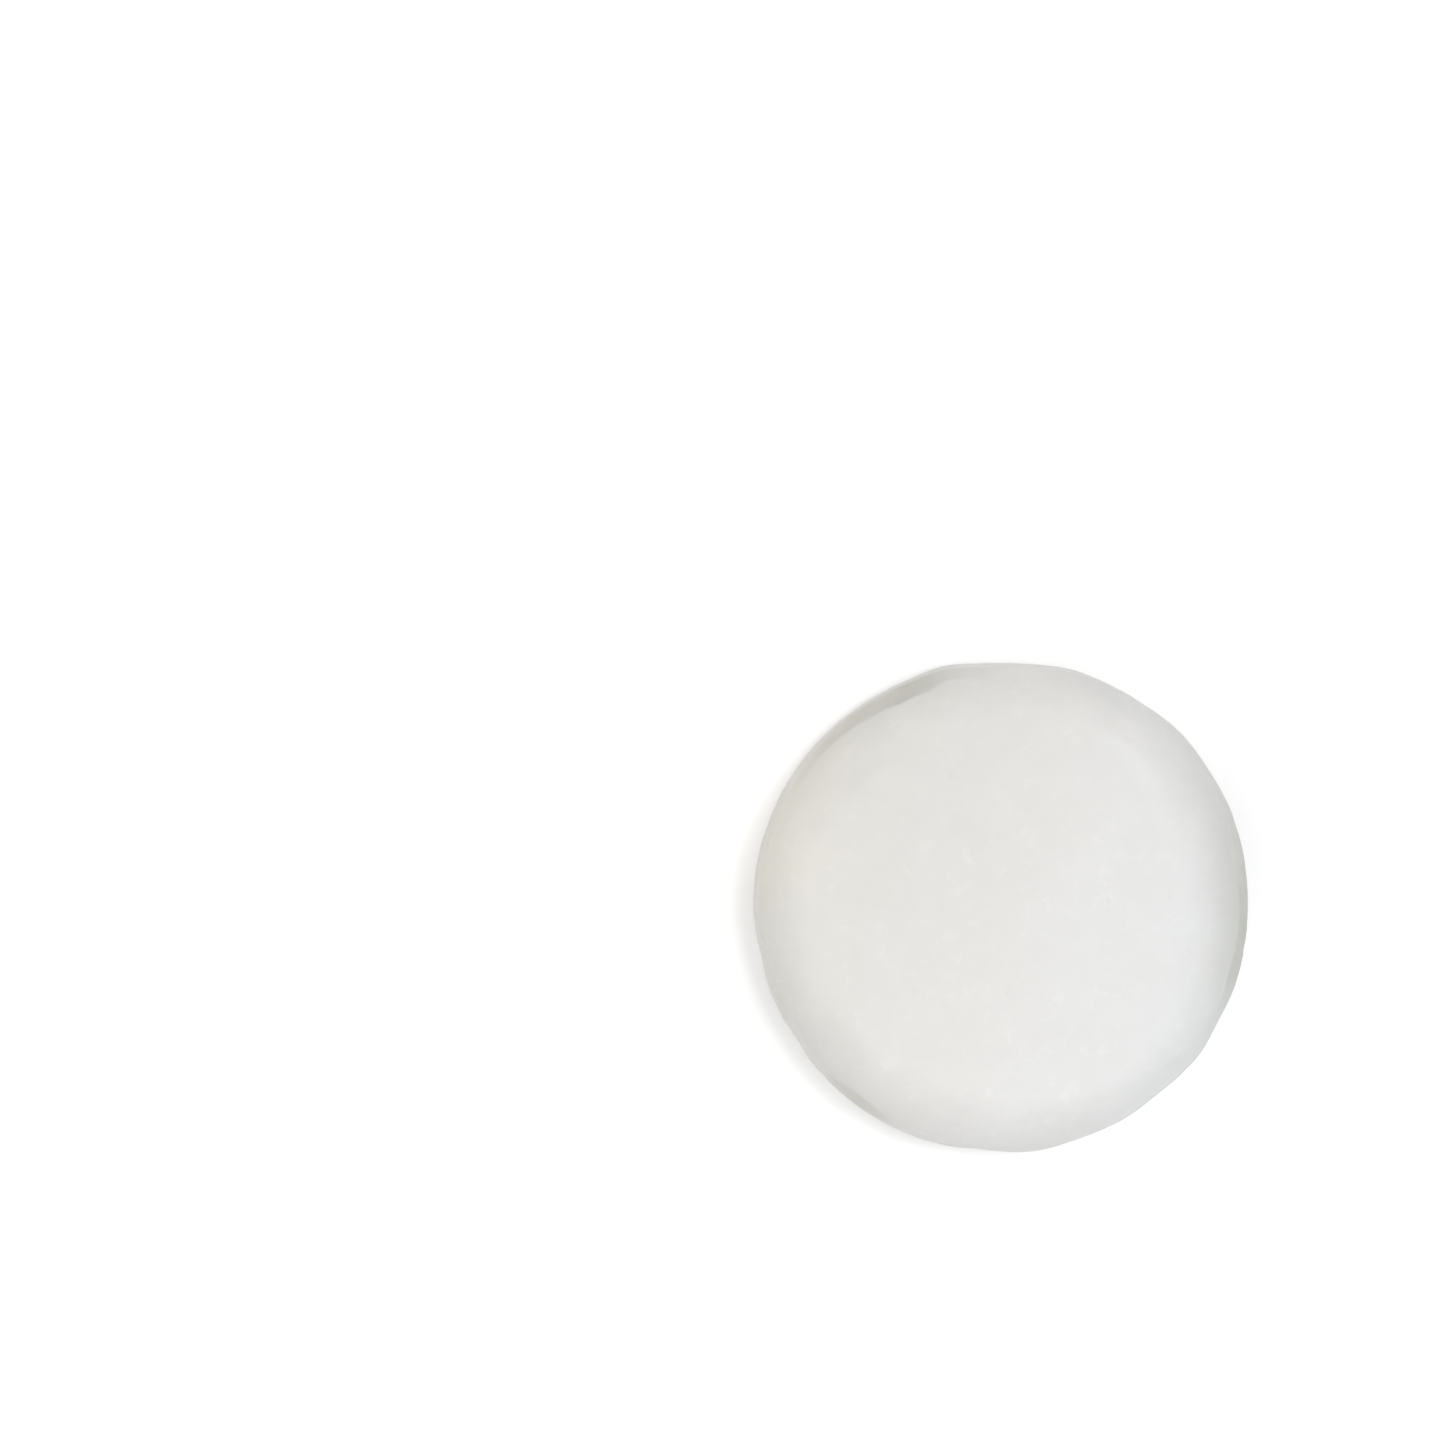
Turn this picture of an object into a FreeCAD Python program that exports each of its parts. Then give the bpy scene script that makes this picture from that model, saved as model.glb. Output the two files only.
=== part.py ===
import FreeCAD, Part

import math
import os

import Sketcher

# Shaving soap puck: one round cake of hard soap, cast in a shallow cup mould and turned out.
#
# The cake stands on its flat base with +Z up, and the origin is the middle of that base.
# The mould gave it the crown, the rolled shoulder and the leaning wall. The base is the side
# that was open when the soap was poured, trimmed flat, with a small bevel round its edge.
#
# Lengths are millimetres and angles are degrees.

SIZES = (
    ("puck_width", 70.0, "mean distance across the widest outline, just above the bevel"),
    ("puck_height", 25.0, "from the base to the middle of the crown"),
    ("crown_rise", 1.2, "how far the crown stands above its own edge"),
    ("shoulder_radius", 8.0, "roll where the crown turns down into the wall"),
    ("base_bevel", 1.2, "bevel trimmed round the edge of the base"),
    ("side_draft", 2.0, "lean of the wall, which lets the cake leave its mould"),
)

# A turned-out cake isn't a true circle. These push its rim out or in, at even steps round
# from +X towards +Y. The flattest stretch of the rim is at +Y.
RIM_OFFSETS = (0.20, 0.30, 0.10, -0.45, -0.10, -0.25, 0.20, -0.10, -0.10, -0.20, -0.25, -0.10)
RIM_STEP = 360 // len(RIM_OFFSETS)

# The outlines that the blank is drawn through: name, height and how far each is drawn in.
OUTLINES = (
    ("base_outline", "0", "sizes.base_bevel"),
    ("widest_outline", "sizes.base_bevel", "0"),
    ("top_outline", "sizes.puck_height",
     "(sizes.puck_height - sizes.base_bevel) * tan(sizes.side_draft * 1 deg)"),
)

NODE = "soap_puck"

ORIGIN = FreeCAD.Vector(0, 0, 0)
UP = FreeCAD.Vector(0, 0, 1)

# Sketcher's own numbers: the ends and centre of a curve, and the sketch's two axes.
START, END, CENTRE = 1, 2, 3
ACROSS, UPWARD = -1, -2


def rim_alias(angle):
    return f"rim_{angle:03d}"


def add_sizes(doc):
    """The sheet of driving dimensions: name, value and meaning, one to a row."""
    sheet = doc.addObject("Spreadsheet::Sheet", "sizes")
    rims = [(rim_alias(i * RIM_STEP), offset, f"rim offset {i * RIM_STEP} degrees round from +X")
            for i, offset in enumerate(RIM_OFFSETS)]
    for row, (alias, value, meaning) in enumerate(list(SIZES) + rims, 1):
        sheet.set(f"A{row}", alias)
        sheet.set(f"B{row}", str(value))
        sheet.setAlias(f"B{row}", alias)
        sheet.set(f"C{row}", meaning)
    doc.recompute()
    return sheet


def add_sketch(body, name, role):
    """An empty sketch on the body's own plane of that role."""
    sketch = body.newObject("Sketcher::SketchObject", name)
    plane = next(feature for feature in body.Origin.OriginFeatures if feature.Role == role)
    sketch.AttachmentSupport = [(plane, "")]
    sketch.MapMode = "FlatFace"
    return sketch


def dimension(sketch, constraint, name, expression):
    """Adds a constraint that the sheet drives."""
    number = sketch.addConstraint(constraint)
    sketch.renameConstraint(number, name)
    sketch.setExpression(f"Constraints.{name}", expression)


def draw_outline(sketch, sheet, inset):
    """A closed spline whose poles stand on evenly turned spokes.

    A pole lies a little outside the curve, so each spoke is longer than the radius it gives.
    The inset is an expression in millimetres that draws the whole outline in.
    """
    pull = (2 + math.cos(math.radians(RIM_STEP))) / 3
    poles = []
    for i, offset in enumerate(RIM_OFFSETS):
        degrees = i * RIM_STEP
        angle = math.radians(degrees)
        reach = (sheet.puck_width / 2 + offset) / pull
        pole = FreeCAD.Vector(reach * math.cos(angle), reach * math.sin(angle), 0)
        spoke = sketch.addGeometry(Part.LineSegment(ORIGIN, pole), True)
        sketch.addConstraint(Sketcher.Constraint("Coincident", spoke, START, ACROSS, START))
        if i == 0:
            sketch.addConstraint(Sketcher.Constraint("Horizontal", spoke))
        else:
            turn = angle if degrees <= 180 else angle - 2 * math.pi
            sketch.addConstraint(Sketcher.Constraint("Angle", 0, START, spoke, START, turn))
        radius = f"sizes.puck_width / 2 + sizes.{rim_alias(degrees)} - {inset}"
        dimension(sketch, Sketcher.Constraint("Distance", spoke, reach), f"spoke_{degrees:03d}",
                  f"3 * ({radius}) / (2 + cos({RIM_STEP} deg))")
        poles.append(pole)

    markers = [sketch.addGeometry(Part.Circle(pole, UP, 1.0), True) for pole in poles]
    sketch.addConstraint(Sketcher.Constraint("Weight", markers[0], 1.0))
    for spoke, marker in enumerate(markers):
        if spoke:
            sketch.addConstraint(Sketcher.Constraint("Equal", markers[0], marker))
        sketch.addConstraint(Sketcher.Constraint("Coincident", marker, CENTRE, spoke, END))

    curve = sketch.addGeometry(Part.BSplineCurve(poles, None, None, True, 3, None, False), False)
    sketch.addConstraint([
        Sketcher.Constraint("InternalAlignment:Sketcher::BSplineControlPoint", marker, CENTRE, curve, i)
        for i, marker in enumerate(markers)])


def draw_crown_cut(sketch, sheet):
    """Half of what lies above the crown: an arc out from the axis, closed over the top.

    It runs past the blank by the shoulder's radius, outwards and upwards, so that it cuts cleanly.
    """
    half_width = sheet.puck_width / 2
    height = sheet.puck_height
    crown_radius = (half_width ** 2 + sheet.crown_rise ** 2) / (2 * sheet.crown_rise)
    reach = half_width + sheet.shoulder_radius
    ceiling = height + sheet.shoulder_radius
    centre = FreeCAD.Vector(0, height - crown_radius, 0)
    crown_top = FreeCAD.Vector(0, height, 0)
    arc_end = FreeCAD.Vector(reach, centre.y + math.sqrt(crown_radius ** 2 - reach ** 2), 0)
    outer_top = FreeCAD.Vector(reach, ceiling, 0)
    inner_top = FreeCAD.Vector(0, ceiling, 0)

    circle = Part.Circle(centre, UP, crown_radius)
    end_angle = math.atan2(arc_end.y - centre.y, arc_end.x)
    arc = sketch.addGeometry(Part.ArcOfCircle(circle, end_angle, math.pi / 2), False)
    outer = sketch.addGeometry(Part.LineSegment(arc_end, outer_top), False)
    lid = sketch.addGeometry(Part.LineSegment(outer_top, inner_top), False)
    inner = sketch.addGeometry(Part.LineSegment(inner_top, crown_top), False)
    sketch.addConstraint([
        Sketcher.Constraint("Coincident", arc, START, outer, START),
        Sketcher.Constraint("Coincident", outer, END, lid, START),
        Sketcher.Constraint("Coincident", lid, END, inner, START),
        Sketcher.Constraint("Coincident", inner, END, arc, END),
        Sketcher.Constraint("PointOnObject", arc, CENTRE, UPWARD),
        Sketcher.Constraint("PointOnObject", inner, START, UPWARD),
        Sketcher.Constraint("PointOnObject", inner, END, UPWARD),
        Sketcher.Constraint("Vertical", outer),
        Sketcher.Constraint("Horizontal", lid),
    ])
    dimension(sketch, Sketcher.Constraint("Radius", arc, crown_radius), "crown_radius",
              "((sizes.puck_width / 2) ^ 2 + sizes.crown_rise ^ 2) / (2 * sizes.crown_rise)")
    dimension(sketch, Sketcher.Constraint("DistanceY", ACROSS, START, inner, END, height),
              "crown_top", "sizes.puck_height")
    dimension(sketch, Sketcher.Constraint("DistanceX", ACROSS, START, outer, START, reach),
              "cut_reach", "sizes.puck_width / 2 + sizes.shoulder_radius")
    dimension(sketch, Sketcher.Constraint("DistanceY", inner, END, inner, START, ceiling - height),
              "cut_depth", "sizes.shoulder_radius")


def edges_between(shape, one_surface, other_surface):
    """Names of the edges where a face of one kind meets a face of the other."""
    names = []
    for number, edge in enumerate(shape.Edges, 1):
        surfaces = {type(face.Surface) for face in shape.ancestorsOfType(edge, Part.Face)}
        if surfaces == {one_surface, other_surface}:
            names.append(f"Edge{number}")
    return names


def make_puck(doc, sheet):
    """The whole cake, in one body."""
    body = doc.addObject("PartDesign::Body", NODE)
    body.Label = NODE

    outlines = []
    for name, level, inset in OUTLINES:
        outline = add_sketch(body, name, "XY_Plane")
        outline.setExpression("AttachmentOffset.Base.z", level)
        draw_outline(outline, sheet, inset)
        outlines.append(outline)
    doc.recompute()
    blank = body.newObject("PartDesign::AdditiveLoft", "blank")
    blank.Profile = outlines[0]
    blank.Sections = outlines[1:]
    blank.Ruled = True
    doc.recompute()

    crown_cut = add_sketch(body, "crown_cut", "XZ_Plane")
    draw_crown_cut(crown_cut, sheet)
    doc.recompute()
    crown = body.newObject("PartDesign::Groove", "crown")
    crown.Profile = crown_cut
    crown.ReferenceAxis = (crown_cut, ["V_Axis"])
    crown.Angle = 360
    doc.recompute()
    if not crown.Shape.Volume < blank.Shape.Volume:
        raise RuntimeError("the crown cut took nothing off the blank")

    shoulder = body.newObject("PartDesign::Fillet", "shoulder")
    shoulder.Base = (crown, edges_between(crown.Shape, Part.Sphere, Part.BSplineSurface))
    shoulder.setExpression("Radius", "sizes.shoulder_radius")
    doc.recompute()
    return body


def check(doc, body):
    """Stops before anything is written if a feature failed or the cake isn't one sound solid."""
    failed = [item.Name for item in doc.Objects if {"Invalid", "Error"} & set(item.State)]
    if failed:
        raise RuntimeError("failed features: " + ", ".join(failed))
    if body.Shape.isNull() or not body.Shape.isValid() or len(body.Shape.Solids) != 1:
        raise RuntimeError(f"{body.Label} isn't one valid solid")


document = FreeCAD.newDocument("shaving_soap_puck")
sizes = add_sizes(document)
puck = make_puck(document, sizes)
document.recompute()
check(document, puck)

os.makedirs("parts", exist_ok=True)
puck.Shape.exportStep(f"parts/{puck.Label}.step")
box = puck.Shape.optimalBoundingBox(False, False)
print(f"{puck.Label}: {box.XLength:.2f} x {box.YLength:.2f} x {box.ZLength:.2f} mm, "
      f"{puck.Shape.Volume / 1000:.2f} cm3, {len(puck.Shape.Faces)} faces")
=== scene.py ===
"""A puck of white shaving soap on a pale floor, seen from straight above."""

import math

import bpy
import numpy as np
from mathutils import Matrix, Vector, noise


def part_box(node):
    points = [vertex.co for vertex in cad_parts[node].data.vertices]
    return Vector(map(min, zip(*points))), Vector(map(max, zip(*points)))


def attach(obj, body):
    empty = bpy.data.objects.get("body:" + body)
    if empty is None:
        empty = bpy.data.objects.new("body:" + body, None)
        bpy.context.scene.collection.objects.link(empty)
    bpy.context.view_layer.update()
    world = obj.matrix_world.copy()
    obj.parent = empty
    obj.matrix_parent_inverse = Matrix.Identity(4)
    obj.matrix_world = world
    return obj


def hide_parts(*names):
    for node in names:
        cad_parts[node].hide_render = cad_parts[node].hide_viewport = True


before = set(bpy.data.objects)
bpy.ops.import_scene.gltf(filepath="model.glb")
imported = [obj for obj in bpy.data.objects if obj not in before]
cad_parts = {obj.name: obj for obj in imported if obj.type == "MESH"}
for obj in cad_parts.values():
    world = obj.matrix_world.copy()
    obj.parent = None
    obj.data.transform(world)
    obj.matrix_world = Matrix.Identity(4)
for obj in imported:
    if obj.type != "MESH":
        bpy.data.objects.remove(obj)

MM = 0.001
SEED = 7

# The puck's form, in millimetres and degrees, as the CAD model has it. Its outline and height are
# read from the CAD node itself.
CROWN_RISE = 1.2
SHOULDER_RADIUS = 8.0
SIDE_DRAFT = 2.0
WIDEST_LEVEL = 1.2
BASE_ROLL = 1.7
# The base is this hollow in its middle, and level again at its edge, over this share of its radius.
BASE_HOLLOW = 0.2
BASE_HOLLOW_EDGE = 0.35

# Where the shoulder is tighter or broader than that: direction, half width, change of radius.
SHOULDER_CHANGES = (
    (3, 30, 5.9),
    (68, 26, -0.5),
    (120, 24, 2.6),
    (235, 28, 2.8),
    (312, 24, -2.2),
)
# The shoulder may break off into a flat instead of rounding over: steep in some places, sloping in
# others. Direction, half width and share, from 0 for none to 1 for a full one. A steep one also has
# painted shade darkening it, its strength, and the share of it that spreads up the shoulder.
STEEP_FLATS_AND_PAINTED_SHADE = (
    (7, 21, 0.80, 1.25, 0.65),
    (347, 12, 0.42, 0.92, 0.35),
    (114, 12, 0.95, 1.20, 0.20),
    (132, 12, 0.45, 0.85, 0.20),
    (200, 9, 0.35, 0.40, 0.40),
    (233, 10, 0.75, 0.90, 0.30),
)
SLOPING_FLATS = (
    (54, 15, 0.85),
    (85, 17, 0.95),
    (165, 17, 0.8),
    (282, 14, 0.4),
    (300, 14, 0.7),
    (320, 18, 0.8),
)
# With no flat, a steep one and a sloping one: the shoulder's tilt where it ends, the flat's own
# tilt, and its width from above. The flat's upper edge is ragged: waves per radian and their share
# of the width. All edges are worn to EDGE_WEAR.
SHOULDER_ENDS = (80.0, 38.0, 36.0)
FLAT_TILTS = (84.5, 71.0, 41.0)
FLAT_WIDTHS = (0.2, 2.2, 2.4)
FLAT_RAGGED = ((5.0, 0.20), (14.0, 0.07))
EDGE_WEAR = 0.22
# Where the painted shade of a steep flat comes in on the shoulder, grows on the flat and goes out
# on
# the wall: from and to, as shares of the way down each.
PAINTED_SHADE_STARTS = (0.3, 1.0)
PAINTED_SHADE_GROWS = (0.0, 0.15)
PAINTED_SHADE_ENDS = (-0.1, 0.9)
# Where the rim stands in or out: direction, half width, change of radius.
RIM_MARKS = (
    (355, 14, -0.16),
    (24, 6, 0.14),
    (44, 8, 0.30),
    (72, 6, 0.21),
    (88, 6, -0.12),
    (103, 5, 0.30),
    (120, 10, -0.12),
    (193, 6, -0.32),
    (205, 5, -0.12),
    (213, 4, -0.30),
    (233, 9, 0.25),
    (248, 8, 0.20),
    (262, 14, 0.16),
    (264, 4, -0.22),
    (278, 7, 0.30),
    (309, 7, -0.20),
    (310, 16, -0.12),
    (323, 4, 0.12),
    (333, 5, -0.18),
)

# Mesh: steps across the crown and the base, and steps from one to the other down the side.
ACROSS = 136
DOWN = 88
# The lines down the side are drawn in arcs and straights of PART_STEPS steps, then worn in steps
# FINENESS times finer than the mesh's. WEAR_REACH is how far wear reaches, in widths of it.
PART_STEPS = 40
FINENESS = 6
WEAR_REACH = 3
# Where the shoulder meets the crown is found by trying this often.
TRIES = 12
# A CAD vertex this near a level is on it.
LEVEL_SLACK = 0.01

# Unevenness of the whole surface, and level ripples on the side alone: size, size upwards, height.
SWELLS = (
    (19.0, 19.0, 0.16),
    (7.0, 7.0, 0.05),
    (2.6, 2.6, 0.022),
    (1.2, 1.2, 0.008),
)
RIPPLES = (
    (13.0, 2.4, 0.080),
    (4.5, 1.0, 0.032),
)
# Round hollows: how many, their radii and their depths. Side pits are where the surface faces
# sideways by more than SIDE_FROM, and a higher HOLLOW_EDGE gives all of them sharper edges.
DENTS = (130, (0.7, 2.6), (0.010, 0.045))
PITS = (46, (0.22, 0.5), (0.05, 0.13))
SIDE_PITS = (90, (0.4, 0.9), (0.12, 0.30))
SIDE_FROM = 0.9
HOLLOW_EDGE = 1.5

# The colour across the puck in one direction, over its width in metres: warmer at one edge and
# cooler at the other, and lighter at the warm edge as painted light.
TINT_DIRECTION = (0.94, -0.34)
TINT_WIDTH = 0.070
TINTS_AND_PAINTED_LIGHT = (
    (0.00, (0.850, 0.819, 0.742, 1)),
    (0.09, (0.838, 0.819, 0.770, 1)),
    (0.20, (0.812, 0.802, 0.768, 1)),
    (0.50, (0.813, 0.805, 0.787, 1)),
    (0.66, (0.818, 0.815, 0.802, 1)),
    (0.85, (0.804, 0.808, 0.804, 1)),
    (1.00, (0.791, 0.807, 0.808, 1)),
)
TINT_SCATTER = 0.18
# Painted light: a second change, of lightness alone, in another direction, lighter towards one
# side:
# from and to in metres, and the tones.
PAINTED_LIGHT_DIRECTION = (0.45, -0.89)
PAINTED_LIGHT_TONES = (-0.025, 0.025, 0.956, 1.034)
# What is left of the colour where painted shade darkens a steep flat, slightly olive.
PAINTED_SHADE_COLOUR = (0.84, 0.838, 0.80)

# Noise through the soap. Streaks are level lines, so they are finer upwards than sideways.
TINT_NOISE = dict(Scale=110.0, Detail=3.0)
CLOUDS = dict(Scale=190.0, Detail=4.0, Roughness=0.55)
SPOTS = dict(Scale=480.0, Detail=3.0, Distortion=0.7)
STREAKS = dict(Scale=140.0, Detail=4.0, Roughness=0.6)
STREAK_STRETCH = (1.0, 1.0, 7.0)
GRAIN = dict(Scale=1500.0, Detail=3.0, Roughness=0.6)
# What it does: the noise from and to, and the tone, painted shade strength or roughness that they
# give.
CLOUD_TONES = (0.3, 0.7, 0.985, 1.015)
SPOT_TONES = (0.58, 0.76, 1.0, 1.035)
STREAK_TONES = (0.3, 0.7, 0.99, 1.01)
PAINTED_SHADE_SCATTER = (0.32, 0.68, 0.85, 1.15)
ROUGHNESSES = (0.3, 0.7, 0.42, 0.58)
# Fine relief of streaks, spots and grain. It is stronger on the side, where the normal's height is
# low, than on the crown, where it is high. Distances are in metres.
SPOT_RELIEF = 0.35
GRAIN_RELIEF = 0.25
BUMP_STRENGTHS = (0.1, 0.8, 1.0, 0.5)
BUMP_DISTANCE = 0.00016
# Light sinks in this far, a little less of it towards blue.
SINK_DISTANCE = 0.00088
SINK_COLOUR = (1.0, 0.97, 0.94)
REFRACTION = 1.46

# Light on a level surface is the sum of these shares. They add up to 1, so that a colour renders
# as it is written.
FILL_SHARE = 0.28
# Name, direction, height above the horizon, distance and side in metres, share.
LAMPS = (
    ("overhead_softbox", 20, 76, 2.7, 0.66, 0.33),
    ("left_softbox", 222, 62, 2.7, 1.35, 0.24),
    ("back_softbox", 145, 40, 2.7, 1.35, 0.07),
    ("low_back_softbox", 74, 22, 2.7, 1.35, 0.045),
    ("low_front_softbox", 316, 20, 2.7, 1.35, 0.035),
)
LAMP_TARGET = (0.0, 0.0, 0.02)

# The floor's paper: as a reflector, and as the camera sees it, white but for the shadow.
PAPER = 0.85
SHOWN_PAPER = 1.23
FLOOR_RADIUS = 4.0

# The camera looks straight down. Distances in millimetres.
CAMERA_HEIGHT = 1000.0
VIEW_WIDTH = 206.4
VIEW_OFFSET = (-39.5, 26.0)
SENSOR_WIDTH = 36.0


def gaussians(angles, marks):
    """The sum of soft marks around the rim. Each is a direction, a half width and an amount."""
    total = np.zeros_like(angles)
    for direction, width, amount in marks:
        turn = (angles - math.radians(direction) + math.pi) % (2 * math.pi) - math.pi
        total += amount * np.exp(-(turn / math.radians(width)) ** 2)
    return total


def read_outline(node, level):
    """The CAD node's own outline at that height: a function from angle to radius, in mm."""
    points = np.array([v.co for v in node.data.vertices]) / MM
    ring = points[np.abs(points[:, 2] - level) < LEVEL_SLACK]
    angles = np.arctan2(ring[:, 1], ring[:, 0])
    radii = np.hypot(ring[:, 0], ring[:, 1])
    order = np.argsort(angles)
    return lambda turned: np.interp(turned, angles[order], radii[order], period=2 * math.pi)


def smooth_step(start, end, value):
    share = np.clip((value - start) / (end - start), 0, 1)
    return share ** 2 * (3 - 2 * share)


def arc(centre, radius, start, end):
    """Points on an arc, from one tilt of the surface to another."""
    tilt = start + (end - start) * np.linspace(0, 1, PART_STEPS + 1)[:, None]
    return np.stack([centre[0] + radius * np.sin(tilt), centre[1] + radius * np.cos(tilt)])


def straight(start, end):
    """Points on a straight line, without its ends."""
    share = (np.arange(1, PART_STEPS) / PART_STEPS)[:, None]
    return start[:, None] + (end - start)[:, None] * share


def ragged(angles, marks):
    """Small ins and outs around the rim. Each mark is a number of waves per radian and a share."""
    total = 0
    for waves, share in marks:
        places = np.stack([np.cos(angles), np.sin(angles), np.ones_like(angles)], 1) * waves
        total = total + share * np.array([noise.noise(Vector(place)) for place in places])
    return total


def even_steps(rows, wear, steps):
    """The same lines down the side in even steps, with corners worn over about that length."""
    worn = np.empty((len(rows), steps + 1, rows.shape[2]))
    for column in range(rows.shape[2]):
        line = rows[:, :, column]
        along = np.append(0, np.cumsum(np.hypot(*np.diff(line[:2], axis=1))))
        places = np.linspace(0, along[-1], steps * FINENESS + 1)
        reach = int(WEAR_REACH * wear / places[1]) + 1
        weights = np.exp(-(np.arange(-reach, reach + 1) * places[1] / wear) ** 2)
        for number, values in enumerate(line):
            values = np.interp(places, along, values)
            before = 2 * values[0] - values[reach:0:-1]
            after = 2 * values[-1] - values[-2:-reach - 2:-1]
            values = np.concatenate([before, values, after])
            smooth = np.convolve(values, weights / weights.sum(), "valid")
            worn[number, :, column] = smooth[::FINENESS]
    return worn


def section(angles, outline, height):
    """Rings from crown to base: radius, height and painted shade. With them, the crown's own
    radius.
    """
    widest = outline(angles) + gaussians(angles, RIM_MARKS)
    roll = SHOULDER_RADIUS + gaussians(angles, SHOULDER_CHANGES)
    draft = math.radians(SIDE_DRAFT)
    upright = math.pi / 2 - draft
    reach = outline(np.linspace(0, 2 * math.pi, 360)).mean()
    sphere = (reach ** 2 + CROWN_RISE ** 2) / (2 * CROWN_RISE)

    steep = np.clip(gaussians(angles, [mark[:3] for mark in STEEP_FLATS_AND_PAINTED_SHADE]), 0, 1)
    # Painted shade on the steep flats: its full strength, and the part that spreads up the
    # shoulder.
    painted_shade_strength = gaussians(angles, [(*mark[:2], mark[3]) for mark in STEEP_FLATS_AND_PAINTED_SHADE])
    painted_shade_spread = gaussians(angles, [(*mark[:2], mark[3] * mark[4]) for mark in STEEP_FLATS_AND_PAINTED_SHADE])
    sloping = np.clip(gaussians(angles, SLOPING_FLATS), 0, 1 - steep)
    kinds = np.stack([1 - steep - sloping, steep, sloping])
    shoulder_end = np.radians(SHOULDER_ENDS @ kinds)
    width = (FLAT_WIDTHS @ kinds) * (1 + ragged(angles, FLAT_RAGGED))
    drop = width * np.tan(np.radians(FLAT_TILTS @ kinds))
    centre_r, centre_z = widest - roll, height - roll
    for _ in range(TRIES):
        foot_z = centre_z + roll * np.cos(shoulder_end) - drop
        foot_r = widest - (foot_z - WIDEST_LEVEL) * math.tan(draft)
        centre_r = foot_r - width - roll * np.sin(shoulder_end)
        centre_z = height - sphere + np.sqrt((sphere - roll) ** 2 - centre_r ** 2)
    crown_edge = np.arctan2(centre_r, centre_z - height + sphere)

    half = (math.pi / 2 + draft) / 2
    reach_up = BASE_ROLL * math.tan(math.pi / 2 - half)
    roll_r = widest + (WIDEST_LEVEL - reach_up) * math.tan(draft) - BASE_ROLL * math.cos(draft)
    shoulder = arc((centre_r, centre_z), roll, crown_edge, shoulder_end)
    base = arc((roll_r, np.full_like(angles, BASE_ROLL)), BASE_ROLL, upright, math.pi)
    flat_foot = np.stack([foot_r, foot_z])
    flat = straight(shoulder[:, -1], flat_foot)
    wall = straight(flat_foot, base[:, 0])

    def down(part):
        return np.linspace(0, 1, part.shape[1])[:, None]

    # Painted shade down the rings: coming in on the shoulder, full on the flat, going out down the
    # wall.
    painted_shade = np.concatenate([
        painted_shade_spread * smooth_step(*PAINTED_SHADE_STARTS, down(shoulder)),
        painted_shade_spread + (painted_shade_strength - painted_shade_spread) * smooth_step(*PAINTED_SHADE_GROWS, down(flat)),
        painted_shade_strength * (1 - smooth_step(*PAINTED_SHADE_ENDS, down(wall))),
        np.zeros((base.shape[1], len(angles))),
    ])
    lines = np.concatenate([shoulder, flat, wall, base], 1)
    r, z, painted_shade = even_steps(np.concatenate([lines, painted_shade[None]]), EDGE_WEAR, DOWN)
    return r, z, painted_shade, sphere


def disc_grid(steps):
    """A square grid spread evenly over a disc: each point's share of the radius, and its angle."""
    line = np.linspace(-1, 1, steps + 1)
    a, b = np.meshgrid(line, line, indexing="ij")
    wide = np.abs(a) > np.abs(b)
    share = np.where(wide, a, b)
    other = np.where(wide, b, a)
    turn = math.pi / 4 * np.divide(other, share, out=np.zeros_like(a), where=share != 0)
    angle = np.where(wide, turn, math.pi / 2 - turn) + np.where(share < 0, math.pi, 0)
    return np.abs(share).ravel(), angle.ravel() % (2 * math.pi)


def cake_mesh(outline, height):
    """Points in mm, faces and painted shade of the even cake: crown grid, side rings and base grid.
    """
    count = 4 * ACROSS
    angles = np.arange(count) * 2 * math.pi / count
    ring_r, ring_z, ring_painted_shade, sphere = section(angles, outline, height)
    share, turned = disc_grid(ACROSS)
    rim = np.flatnonzero(share > 1 - 1e-9)
    place = np.rint(turned[rim] * count / (2 * math.pi)).astype(int) % count
    rim_at = np.empty(count, int)
    rim_at[place] = rim

    def disc(edge):
        r = share * np.interp(turned, angles, edge, period=2 * math.pi)
        return np.stack([r * np.cos(turned), r * np.sin(turned)], 1), r

    crown_xy, crown_r = disc(ring_r[0])
    crown_z = height - sphere + np.sqrt(sphere ** 2 - crown_r ** 2)
    base_xy, _ = disc(ring_r[-1])
    base_z = BASE_HOLLOW * smooth_step(0, BASE_HOLLOW_EDGE, 1 - share)
    side_r = ring_r[1:-1]
    sides = np.stack([side_r * np.cos(angles), side_r * np.sin(angles), ring_z[1:-1]], 2)
    points = np.concatenate([
        np.column_stack([crown_xy, crown_z]),
        sides.reshape(-1, 3),
        np.column_stack([base_xy, base_z]),
    ])

    size = len(share)
    between = len(ring_r) - 2
    rings = np.concatenate([
        rim_at[None],
        size + np.arange(between * count).reshape(between, count),
        size + between * count + rim_at[None],
    ])
    upper, lower = rings[:-1], rings[1:]
    side_faces = np.stack(
        [upper, lower, np.roll(lower, -1, 1), np.roll(upper, -1, 1)], 2).reshape(-1, 4)
    grid = np.arange(size).reshape(ACROSS + 1, ACROSS + 1)
    crown_faces = np.stack(
        [grid[:-1, :-1], grid[1:, :-1], grid[1:, 1:], grid[:-1, 1:]], 2).reshape(-1, 4)
    base_faces = crown_faces[:, ::-1] + size + between * count
    painted_shade = np.concatenate([np.zeros(size), ring_painted_shade[1:-1].ravel(), np.zeros(size)])
    return points, np.concatenate([crown_faces, side_faces, base_faces]), painted_shade


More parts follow.
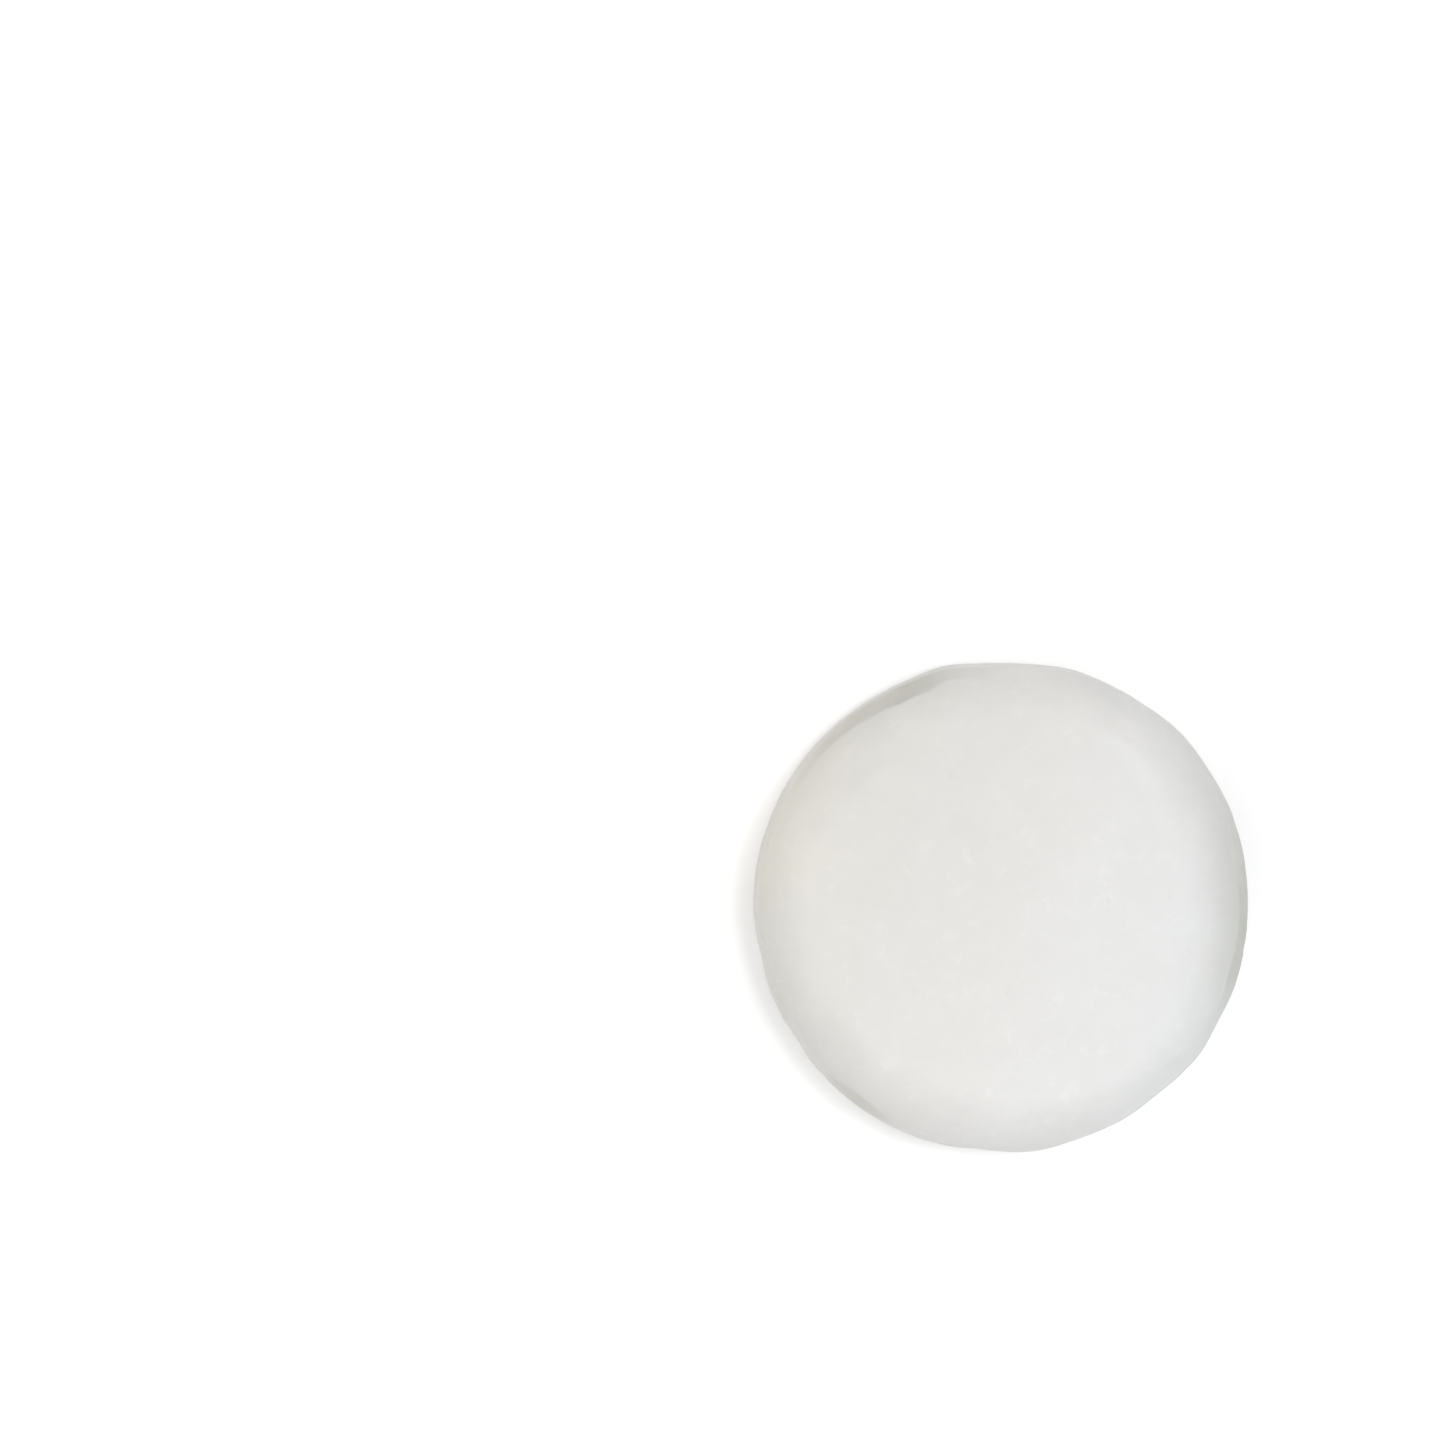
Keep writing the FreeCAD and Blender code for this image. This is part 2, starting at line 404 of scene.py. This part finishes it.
def unevenness(points, layers):
    """Smooth swells over the surface. Each layer is a size, a size upwards and a height."""
    total = np.zeros(len(points))
    for number, (size, rise, height) in enumerate(layers):
        shift = Vector((31.7 * number + SEED, 11.3 * number, 5.9 * number))
        scaled = points / (size, size, rise)
        total += height * np.array([noise.noise(Vector(p) + shift) for p in scaled])
    return total


def hollows(points, places, rng, count, radii, depths):
    """Shallow round hollows, scattered over those places of the surface."""
    total = np.zeros(len(points))
    for centre in places[rng.integers(0, len(places), count)]:
        radius = rng.uniform(*radii)
        depth = rng.uniform(*depths)
        near = ((points - centre) ** 2).sum(1) / radius ** 2
        total -= depth * np.exp(-near ** HOLLOW_EDGE)
    return total


def new_mesh(name, points, faces):
    mesh = bpy.data.meshes.new(name)
    mesh.vertices.add(len(points))
    mesh.vertices.foreach_set("co", (points * MM).astype(np.float32).ravel())
    mesh.loops.add(faces.size)
    mesh.loops.foreach_set("vertex_index", faces.astype(np.int32).ravel())
    mesh.polygons.add(len(faces))
    mesh.polygons.foreach_set("loop_start", np.arange(0, faces.size, 4, dtype=np.int32))
    mesh.polygons.foreach_set("use_smooth", np.ones(len(faces), bool))
    mesh.update(calc_edges=True)
    return mesh


def vertex_normals(mesh):
    normals = np.zeros(len(mesh.vertices) * 3, np.float32)
    mesh.vertex_normals.foreach_get("vector", normals)
    return normals.reshape(-1, 3).astype(float)


def make_cake(node):
    """The soap itself: the CAD node's form with the unevenness of a real cake."""
    low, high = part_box(node.name)
    outline = read_outline(node, WIDEST_LEVEL)
    points, faces, painted_shade = cake_mesh(outline, high.z / MM)
    mesh = new_mesh("soap_cake", points, faces)
    # The painted shade of the steep flats, kept on the mesh for the material.
    mesh.attributes.new("painted_shade", "FLOAT", "POINT").data.foreach_set("value", painted_shade.astype(np.float32))
    normals = vertex_normals(mesh)
    sideways = (1 - normals[:, 2] ** 2) ** 2
    rng = np.random.default_rng(SEED)
    uneven = unevenness(points, SWELLS) + sideways * unevenness(points, RIPPLES)
    uneven += hollows(points, points, rng, *DENTS)
    uneven += hollows(points, points, rng, *PITS)
    uneven += hollows(points, points[sideways > SIDE_FROM], rng, *SIDE_PITS)
    points = points + normals * uneven[:, None]
    points[:, 2] = np.maximum(points[:, 2], low.z / MM)
    mesh.vertices.foreach_set("co", (points * MM).astype(np.float32).ravel())
    mesh.update()
    cake = bpy.data.objects.new("soap_cake", mesh)
    bpy.context.scene.collection.objects.link(cake)
    return cake


class Nodes:
    """Short calls for building a material."""

    def __init__(self, tree):
        self.tree = tree
        tree.nodes.clear()

    def add(self, kind, **values):
        """A new node. Values name its sockets, with _ for a space, or its own settings."""
        node = self.tree.nodes.new("ShaderNode" + kind)
        for key, value in values.items():
            socket = node.inputs.get(key.replace("_", " "))
            if socket is None:
                setattr(node, key, value)
            elif isinstance(value, bpy.types.NodeSocket):
                self.tree.links.new(value, socket)
            else:
                socket.default_value = value
        return node

    def join(self, node, values):
        """The node's result for those values, given in the order of its sockets."""
        for socket, value in zip(node.inputs, values):
            if isinstance(value, bpy.types.NodeSocket):
                self.tree.links.new(value, socket)
            else:
                socket.default_value = value
        return next(output for output in node.outputs if output.enabled)

    def math(self, operation, *values):
        return self.join(self.add("Math", operation=operation), values)

    def vector(self, operation, *values, **named):
        return self.join(self.add("VectorMath", operation=operation, **named), values)

    def fit(self, value, start, end, low, high):
        """The value held between start and end, and moved to between low and high."""
        return self.join(self.add("MapRange"), (value, start, end, low, high))


def soap_material():
    """White hard soap: faintly cloudy, satin, with light sinking a little way in."""
    mat = bpy.data.materials.new("white_soap")
    mat.use_nodes = True
    n = Nodes(mat.node_tree)
    place = n.add("TexCoord").outputs["Object"]

    # Warm by one edge and cooler by the other, the warm edge lighter as painted light, and painted
    # light making it a little darker towards one side.
    tint_noise = n.add("TexNoise", Vector=place, **TINT_NOISE).outputs["Fac"]
    across = n.vector("DOT_PRODUCT", place, (*TINT_DIRECTION, 0.0))
    drift = n.math("MULTIPLY_ADD", across, 1 / TINT_WIDTH, 0.5)
    drift = n.math("SUBTRACT", drift, TINT_SCATTER / 2)
    drift = n.math("MULTIPLY_ADD", tint_noise, TINT_SCATTER, drift)
    tint_and_painted_light = n.add("ValToRGB", Fac=drift)
    ramp = tint_and_painted_light.color_ramp
    ramp.elements[0].position, ramp.elements[0].color = TINTS_AND_PAINTED_LIGHT[0]
    ramp.elements[1].position, ramp.elements[1].color = TINTS_AND_PAINTED_LIGHT[-1]
    for position, colour in TINTS_AND_PAINTED_LIGHT[1:-1]:
        ramp.elements.new(position).color = colour
    # Painted light: lighter towards one side.
    along = n.vector("DOT_PRODUCT", place, (*PAINTED_LIGHT_DIRECTION, 0.0))
    painted_light = n.fit(along, *PAINTED_LIGHT_TONES)

    # Faint clouds, and small pale flecks.
    clouds = n.add("TexNoise", Vector=place, **CLOUDS).outputs["Fac"]
    spots = n.add("TexNoise", Vector=place, **SPOTS).outputs["Fac"]
    mottle = n.math("MULTIPLY", n.fit(clouds, *CLOUD_TONES), n.fit(spots, *SPOT_TONES))
    level_lines = n.vector("MULTIPLY", place, STREAK_STRETCH)
    streaks = n.add("TexNoise", Vector=level_lines, **STREAKS).outputs["Fac"]
    mottle = n.math("MULTIPLY", mottle, n.fit(streaks, *STREAK_TONES))
    even = n.vector("SCALE", tint_and_painted_light.outputs["Color"], Scale=n.math("MULTIPLY", painted_light, mottle))

    # Painted shade: the steep flats are darker and slightly olive, unevenly so.
    painted_shade = n.add("Attribute", attribute_name="painted_shade").outputs["Fac"]
    painted_shade = n.math("MULTIPLY", painted_shade, n.fit(clouds, *PAINTED_SHADE_SCATTER))
    change = n.vector("SCALE", tuple(share - 1 for share in PAINTED_SHADE_COLOUR), Scale=painted_shade)
    colour = n.vector("MULTIPLY_ADD", even, change, even)

    # Scuffed by handling, most on the side, with fine grain and shallow level lines from the mould.
    grain = n.add("TexNoise", Vector=place, **GRAIN).outputs["Fac"]
    relief = n.math("MULTIPLY_ADD", spots, SPOT_RELIEF, streaks)
    relief = n.math("MULTIPLY_ADD", grain, GRAIN_RELIEF, relief)
    level = n.add("SeparateXYZ", Vector=n.add("NewGeometry").outputs["Normal"]).outputs["Z"]
    bump = n.add("Bump", Height=relief, Strength=n.fit(level, *BUMP_STRENGTHS),
                 Distance=BUMP_DISTANCE)

    shader = n.add("BsdfPrincipled", Base_Color=colour, Roughness=n.fit(clouds, *ROUGHNESSES),
                   Normal=bump.outputs["Normal"], IOR=REFRACTION, Subsurface_Weight=1.0,
                   Subsurface_Radius=SINK_COLOUR, Subsurface_Scale=SINK_DISTANCE)
    n.add("OutputMaterial", Surface=shader.outputs["BSDF"])
    return mat


def sees_backdrop(n):
    """1 for rays that show the backdrop: from the camera, a reflection or through glass."""
    path = n.add("LightPath")
    either = n.math("MAXIMUM", path.outputs["Is Camera Ray"], path.outputs["Is Glossy Ray"])
    return n.math("MAXIMUM", either, path.outputs["Is Transmission Ray"])


def floor_material():
    """White paper. It shows pure white, except in the puck's shadow."""
    mat = bpy.data.materials.new("white_floor")
    mat.use_nodes = True
    n = Nodes(mat.node_tree)
    seen = sees_backdrop(n)
    shade = n.math("MULTIPLY_ADD", seen, SHOWN_PAPER - PAPER, PAPER)
    grey = n.add("CombineColor", Red=shade, Green=shade, Blue=shade).outputs["Color"]
    paper = n.add("BsdfDiffuse", Color=grey)
    n.add("OutputMaterial", Surface=paper.outputs["BSDF"])
    return mat


def make_floor():
    bpy.ops.mesh.primitive_circle_add(vertices=64, radius=FLOOR_RADIUS, fill_type="NGON")
    floor = bpy.context.object
    floor.name = "floor"
    floor.data.materials.append(floor_material())


def make_world():
    """Even light from all round, and a white backdrop."""
    world = bpy.data.worlds.new("studio")
    world.use_nodes = True
    bpy.context.scene.world = world
    n = Nodes(world.node_tree)
    strength = n.math("MULTIPLY_ADD", sees_backdrop(n), 1 - FILL_SHARE, FILL_SHARE)
    sky = n.add("Background", Color=(1, 1, 1, 1), Strength=strength)
    n.add("OutputWorld", Surface=sky.outputs["Background"])


def make_lamps(target):
    for name, direction, rise, distance, side, share in LAMPS:
        azimuth, elevation = math.radians(direction), math.radians(rise)
        away = Vector((math.cos(azimuth) * math.cos(elevation),
                       math.sin(azimuth) * math.cos(elevation), math.sin(elevation)))
        light = bpy.data.lights.new(name, "AREA")
        light.shape, light.size = "SQUARE", side
        light.energy = share * (math.pi * distance) ** 2 / math.sin(elevation)
        lamp = bpy.data.objects.new(name, light)
        lamp.location = target + away * distance
        lamp.rotation_euler = away.to_track_quat("Z", "Y").to_euler()
        lamp.visible_camera = False
        bpy.context.scene.collection.objects.link(lamp)


def make_camera():
    data = bpy.data.cameras.new("camera")
    data.sensor_width = SENSOR_WIDTH
    data.lens = SENSOR_WIDTH * CAMERA_HEIGHT / VIEW_WIDTH
    camera = bpy.data.objects.new("camera", data)
    camera.location = Vector((*VIEW_OFFSET, WIDEST_LEVEL + CAMERA_HEIGHT)) * MM
    bpy.context.scene.collection.objects.link(camera)
    bpy.context.scene.camera = camera


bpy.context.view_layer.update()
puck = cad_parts["soap_puck"]
cake = make_cake(puck)
cake.data.materials.append(soap_material())
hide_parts("soap_puck")
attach(cake, "root")

make_floor()
make_world()
make_lamps(Vector(LAMP_TARGET))
make_camera()
bpy.context.scene.view_settings.view_transform = "Standard"
